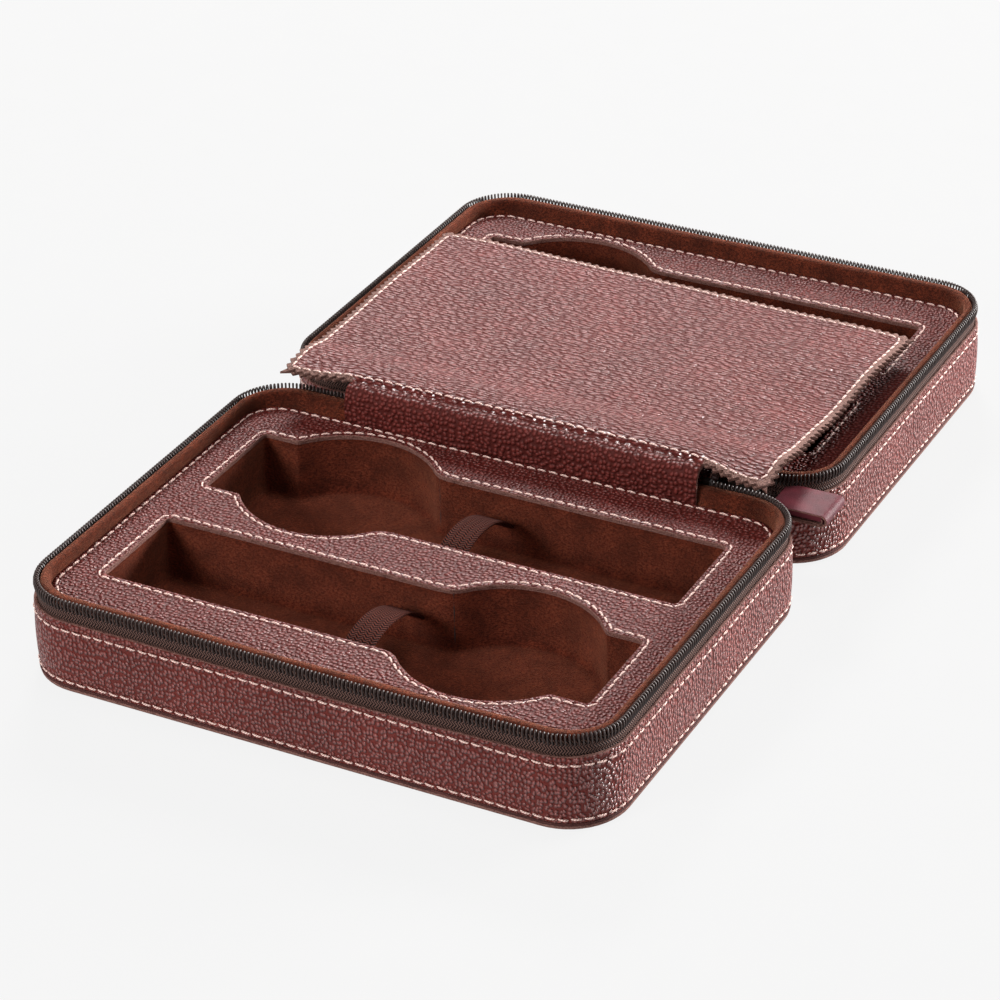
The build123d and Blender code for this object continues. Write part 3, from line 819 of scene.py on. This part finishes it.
def flap_layer(names, nodes, under, phase):
    """One leather layer with pinked edges; the grid's edge points step in and out to make the zigzag.
    The strip sewn on the hinge and the leaf beyond it are two pieces."""
    nx, ny = 116, FLAP_ROWS
    x, dy = flap_grid(PINK, nx, ny)
    u, v = x[:, 0].copy(), dy[0].copy()
    odd = lambda k: (PINK + 0.25 * under) * ((np.arange(k) + phase) % 2) + RNG.normal(0, 0.12, k)
    x[0] -= odd(ny + 1)
    x[-1] += odd(ny + 1)
    dy[:, -1] += odd(nx + 1)
    dy[:, 0] -= odd(nx + 1) * (1 - sewn(x[:, 0]))
    roll = np.zeros_like(x)
    roll[[0, -1]] = roll[:, [0, -1]] = 0.14
    thick = flap_depth(x, dy)
    top = flap_top(x, dy) - under * (thick + 0.02)
    point = lambda z: np.stack([x, HINGE_Y + dy, z], -1)
    upper, lower = point(top - roll), point(top - thick + roll * 0.6)
    mats = np.zeros((nx, ny), int)
    mats[[0, -1]] = mats[:, -1] = CUT
    mats[np.abs(u[:-1]) > SPINE_X, 0] = CUT
    out = []
    for name, node, first, last in zip(names, nodes, (0, SEAM_ROW), (SEAM_ROW, ny)):
        part = Part()
        up, low, w = upper[:, first:last + 1], lower[:, first:last + 1], v[first:last + 1]
        part.grid(up, u, w, mats[:, first:last])
        part.grid(low, u, w, mats[:, first:last])
        for a, b, along in ((up[0], low[0], w), (up[-1], low[-1], w),
                            (up[:, 0], low[:, 0], u), (up[:, -1], low[:, -1], u)):
            part.grid(np.stack([a, (a + b) / 2, b], 1), along, np.array([0, 0.5, 1.0]), CUT)
        o = part.object(name, [FLAP, PINKED], "flap_leather", weld=0.001)
        if node:
            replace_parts(o, node)
        out.append(o)
    return out


def flap_row(under):
    """The sewn line that holds the two layers of the flap together."""
    x, dy = flap_grid(2.75, 60, 60)
    dy[:, 0] = near_edge(x[:, 0]) + 2.3
    sides = [np.column_stack([x[part], dy[part]]) for part in (
        np.s_[:-1, 0], np.s_[-1, :-1], np.s_[:0:-1, -1], np.s_[0, :0:-1])]
    xy = np.vstack(sides[1 if under else 0:])
    for _ in range(2):
        xy[1:-1] = (xy[:-2] + 2 * xy[1:-1] + xy[2:]) / 4
    z = flap_top(xy[:, 0], xy[:, 1])
    z = z - 2 * flap_depth(xy[:, 0], xy[:, 1]) + 0.08 if under else z - 0.06
    up = np.tile([0.0, 0, -1.0 if under else 1.0], (len(xy), 1))
    return Path(np.column_stack([xy[:, 0], HINGE_Y + xy[:, 1], z]), up, closed=not under)


def flap():
    """The divider: two layers sewn together, split at the seam beyond the hinge's crest."""
    strip_top, top = flap_layer(("flap_strip", "flap_face"), ("flap_root", "flap_top"), 0, 0)
    strip_under, under = flap_layer(("flap_strip_back", "flap_back"), ("", "flap_under"), 1, 1)
    sewn_row, leaf_row = Part(), Part()
    for row in (flap_row(False), flap_row(True)):
        stitch((sewn_row, leaf_row), row, 3.6, 3.0)
    sewn_row = sewn_row.object("flap_strip_stitching", [THREAD], "flap_leather")
    leaf_row = leaf_row.object("flap_stitching", [THREAD], "flap_leather")
    for o in (strip_top, strip_under, sewn_row):
        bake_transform(o)
    for o in (top, under, leaf_row):
        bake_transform(o)


def zip_tail():
    """Loose end of the zip beyond the leather hinge."""
    tape, teeth = Part(), Part()
    x = np.linspace(63.0, 92.5, 40)
    count, rings = 22, 7
    ang = np.linspace(0.15, 1.85, rings) * np.pi
    loop_y, loop_z = 1.05 * np.cos(ang), 0.55 * np.sin(ang)
    thick = np.array([0.2, 0.24, 0.24, 0.26, 0.24, 0.24, 0.2])
    for s in (-1, 1):
        y0, y1 = HINGE_Y + s * 1.35, HINGE_Y + s * 3.9
        half = [(y0, 0.3), ((y0 + y1) / 2, 0.38), (y1, 0.28)]
        outline = [(a, TAIL_Z + b) for a, b in half] + [(a, TAIL_Z - b) for a, b in half[::-1]]
        pts = np.stack([np.column_stack([x, np.full(len(x), a), np.full(len(x), b)]) for a, b in outline], 1)
        tape.grid(pts, x, lengths(np.array(outline + outline[:1])), 0, False, True)
        cx = 63.6 + (np.arange(count) + (0.5 if s > 0 else 0.0)) * COIL_PITCH
        spread = lambda *xyz: np.stack([np.broadcast_to(q, (count, rings)) for q in xyz], -1)
        c = spread(cx[:, None] + np.linspace(-0.15, 0.15, rings), HINGE_Y + s * (0.75 + loop_y),
                   TAIL_Z + loop_z)
        n = spread(0.0, s * np.cos(ang), np.sin(ang))
        b = np.broadcast_to(np.array([1.0, 0, 0]), c.shape)
        teeth.tubes(c, n, b, np.full(rings, 0.2), thick, 6, np.linspace(0, 4, rings))
    o = tape.object("zip_end_tape", [TAPE], "zip_tape")
    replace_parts(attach(o, "base"), "zip_tail_tape")
    o = teeth.object("zip_end_teeth", [COIL], "zip_coil")
    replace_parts(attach(o, "base"), "zip_tail_coil")


def zip_tab():
    """Leather tab folded over the end of the zip in two layers, one inside the other."""
    tab = Part()
    start, n_run = 84.5, 15
    half = lambda x: np.interp(x, [start, 88.0, 103.6], [4.6, 7.1, 7.2])
    y = np.array([-1.0, -0.985, -0.94, -0.5, 0, 0.5, 0.94, 0.985, 1.0])
    pinch = np.array([0.75, 0.92, 1, 1, 1, 1, 1, 0.92, 0.75])
    turn = np.linspace(math.pi / 2, -math.pi / 2, 13)
    for r0, r1, nose in ((1.28, 2.1, 103.3), (0.80, 1.24, 101.9)):
        xs = np.linspace(start, nose - r1, n_run + 1)[:-1]
        line = lambda r: np.vstack([np.column_stack([xs, np.full(n_run, TAB_Z + r)]),
                                    np.column_stack([nose - r1 + r * np.cos(turn), TAB_Z + r * np.sin(turn)]),
                                    np.column_stack([xs[::-1], np.full(n_run, TAB_Z - r)])])
        out, inn = line(r1), line(r0)
        mid, dif = (out + inn) / 2, (out - inn) / 2
        u = lengths(mid)
        skin = lambda sign: np.stack([
            np.column_stack([mid[:, 0] + sign * dif[:, 0] * f, HINGE_Y + half(mid[:, 0]) * w,
                             mid[:, 1] + sign * dif[:, 1] * f]) for w, f in zip(y, pinch)], 1)
        a, b = skin(1), skin(-1)
        across, thick = y * 7, np.array([0, 0.8])
        tab.grid(a, u, across, FACE)
        tab.grid(b, u, across, CUT)
        for e in (0, -1):
            tab.grid(np.stack([a[:, e], b[:, e]], 1), u, thick, CUT)
            tab.grid(np.stack([a[e], b[e]], 1), across, thick, CUT)
    o = tab.object("zip_tab_fold", [TAB, EDGE], "tab_leather", weld=0.001)
    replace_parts(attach(o, "base"), "zip_tab")


def carried_over():
    """CAD nodes that stay as they are, with their own materials and eased edges."""
    for name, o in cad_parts.items():
        if o.hide_render:
            continue
        material = METAL if name in ("slider", "pull") else STOP if name.endswith("stops") else \
            FOAM if name.endswith("core") else TAB if name == "zip_tab_filler" else BOARD
        for s in o.material_slots:
            s.material = material
        if name in ("slider", "pull") or name.endswith("stops"):
            bevel = o.modifiers.new("ease", "BEVEL")
            bevel.width, bevel.segments = 0.18 * MM, 2
            bevel.limit_method, bevel.angle_limit = "ANGLE", math.radians(50)


# ---------------------------------------------------------------- studio
def studio():
    """Plain pale room: a floor, an even background and four softboxes."""
    scene = bpy.context.scene
    world = bpy.data.worlds.new("studio")
    scene.world = world
    world.use_nodes = True
    sky = world.node_tree.nodes["Background"].inputs
    sky["Color"].default_value, sky["Strength"].default_value = (1.0, 0.99, 0.98, 1), 0.22
    me = bpy.data.meshes.new("floor")
    floor_z = -0.0004
    me.from_pydata([(x, y, floor_z) for x, y in ((-4, -4), (4, -4), (4, 6), (-4, 6))], [], [(0, 1, 2, 3)])
    floor = bpy.data.objects.new("floor", me)
    scene.collection.objects.link(floor)
    g = Graph("floor_paper")
    tooth = g.add("TexNoise", 0, Vector=g.add("TexCoord", 3), Scale=60.0, Detail=3.0)
    colour = g.mix(tooth, (0.030, 0.030, 0.030, 1), (0.034, 0.034, 0.034, 1))
    me.materials.append(g.finish(Base_Color=colour, Roughness=1.0, Specular_IOR_Level=0.0,
                                 Emission_Color=(1.0, 1.0, 1.0, 1), Emission_Strength=0.865))
    target = Vector((0.0, 0.08, 0.02))
    for name, at, wide, tall, power in (("back_left", (-0.75, 1.45, 1.05), 0.5, 0.4, 43.0),
                                        ("back_right", (1.0, 1.3, 0.32), 0.7, 0.5, 70.0),
                                        ("top", (0.1, 0.25, 1.6), 0.5, 0.5, 10.0),
                                        ("front", (-0.7, -1.3, 0.8), 0.6, 0.5, 21.0)):
        light = bpy.data.lights.new(name, "AREA")
        light.shape, light.size, light.size_y, light.energy = "RECTANGLE", wide, tall, power
        light.color = (1.0, 0.98, 0.97)
        o = bpy.data.objects.new(name, light)
        o.location = at
        o.rotation_mode = "QUATERNION"
        o.rotation_quaternion = (target - Vector(at)).to_track_quat("-Z", "Y")
        scene.collection.objects.link(o)
    scene.view_settings.view_transform = "Standard"


def camera():
    """The photo's view: azimuth, elevation and roll, a point on the table and the distance to it."""
    az, el, roll = (math.radians(a) for a in (27.97, 30.40, -1.22))
    aim, distance = Vector((-0.01442, 0.0816, 0.0)), 1.1486
    back = Vector((math.sin(az) * math.cos(el), -math.cos(az) * math.cos(el), math.sin(el)))
    right = Vector((math.cos(az), math.sin(az), 0))
    up = back.cross(right)
    r2 = right * math.cos(roll) + up * math.sin(roll)
    u2 = up * math.cos(roll) - right * math.sin(roll)
    data = bpy.data.cameras.new("camera")
    data.sensor_width, data.lens = 36.0, 127.67
    data.clip_start, data.clip_end = 0.05, 30.0
    o = bpy.data.objects.new("camera", data)
    place = aim + back * distance
    o.matrix_world = Matrix([(r2[k], u2[k], back[k], place[k]) for k in range(3)] + [(0, 0, 0, 1)])
    bpy.context.scene.collection.objects.link(o)
    bpy.context.scene.camera = o


camera()
# side is +1 where the hinge is on the half's +Y side; offset is the coil's step, so that the two rows mesh
for prefix, side, y, offset in (("base", 1, 0.0, 0.0), ("lid", -1, LID_Y, 0.5)):
    wall(prefix, side, y)
    underside(prefix, side, y)
    rim(prefix, side, y)
    panel(prefix, side, y)
    for k, word in ((1, "far"), (-1, "near")):
        compartment(prefix, y, k, word)
        strap(prefix, y, k, word)
    zip_side(prefix, side, y, offset)
spine()
flap()
zip_tail()
zip_tab()
carried_over()
studio()
